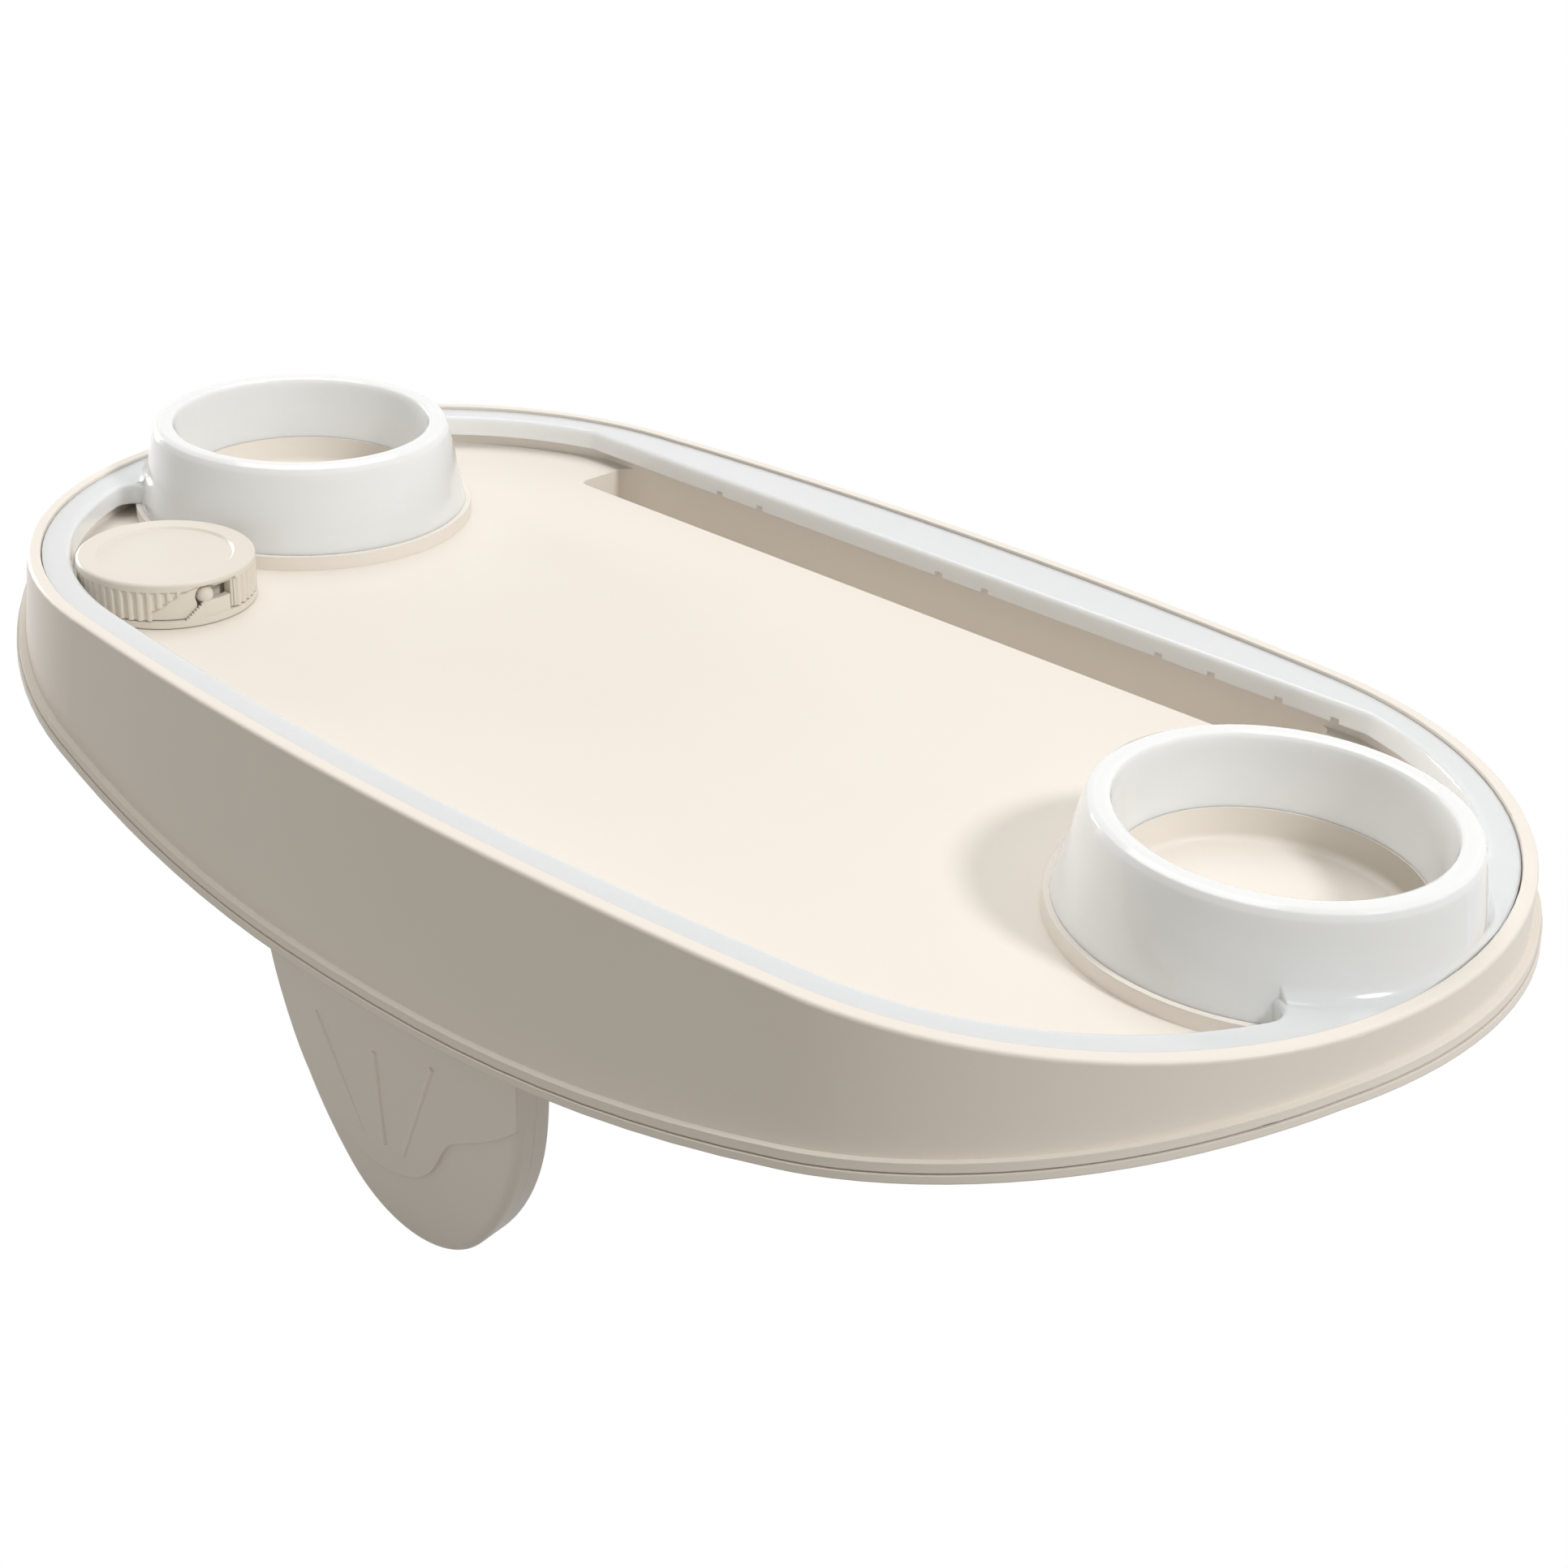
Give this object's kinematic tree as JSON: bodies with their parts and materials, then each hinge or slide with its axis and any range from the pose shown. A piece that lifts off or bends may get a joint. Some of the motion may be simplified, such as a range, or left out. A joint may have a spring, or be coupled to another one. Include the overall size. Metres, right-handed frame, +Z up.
{
  "type": "hot tub tray",
  "caption": "Oval drinks tray that sits over a hot tub wall, with raised cup collars in a light band, a device slot, a captive filler cap and a hanging leg.",
  "frame": {"origin": "middle of the flat crown of the underside, which rests on the tub wall", "axes": "+X along the tray, +Y towards the device slot, +Z up"},
  "size_m": [0.5358, 0.299, 0.1839],
  "materials": {
    "cream_plastic": "fine satin",
    "milky_plastic": "gloss",
    "lamp_board": "gloss",
    "seal_rubber": "matt",
    "button_rubber": "matt",
    "screw_steel": "satin",
    "cell_sleeve": "gloss",
    "board": "gloss"
  },
  "bodies": {
    "tray": {"tray_body": "cream_plastic", "base_pan": "cream_plastic", "light_band": "milky_plastic", "led_strip_near": "lamp_board", "led_strip_far": "lamp_board", "led_ring_left": "lamp_board", "led_ring_right": "lamp_board", "leg_front_shell": "cream_plastic", "leg_rear_shell": "cream_plastic", "body_screws": "screw_steel", "leg_screws": "screw_steel", "battery_cells": "cell_sleeve", "battery_contacts": "screw_steel", "battery_door": "cream_plastic", "door_seal": "seal_rubber", "door_screws": "screw_steel", "control_board": "board"},
    "tether": {"cap_tether": "cream_plastic"},
    "cap": {"filler_cap": "cream_plastic", "cap_seal": "seal_rubber"},
    "button": {"push_button": "button_rubber"}
  },
  "joints": [
    {"name": "cap_turn", "type": "hinge", "parent": "tray", "child": "tether", "pos_m": [-0.1687, -0.0836, 0.0084], "axis": [0, 0, 1], "range_deg": [0, 360]},
    {"name": "cap_lift", "type": "slide", "parent": "tether", "child": "cap", "axis": [0, 0, 1], "range_m": [0, 0.03]},
    {"name": "button_press", "type": "slide", "parent": "tray", "child": "button", "axis": [0, 0, 1], "range_m": [0, 0.0012], "stiffness_N_per_m": 600, "springref_m": -0.001}
  ]
}
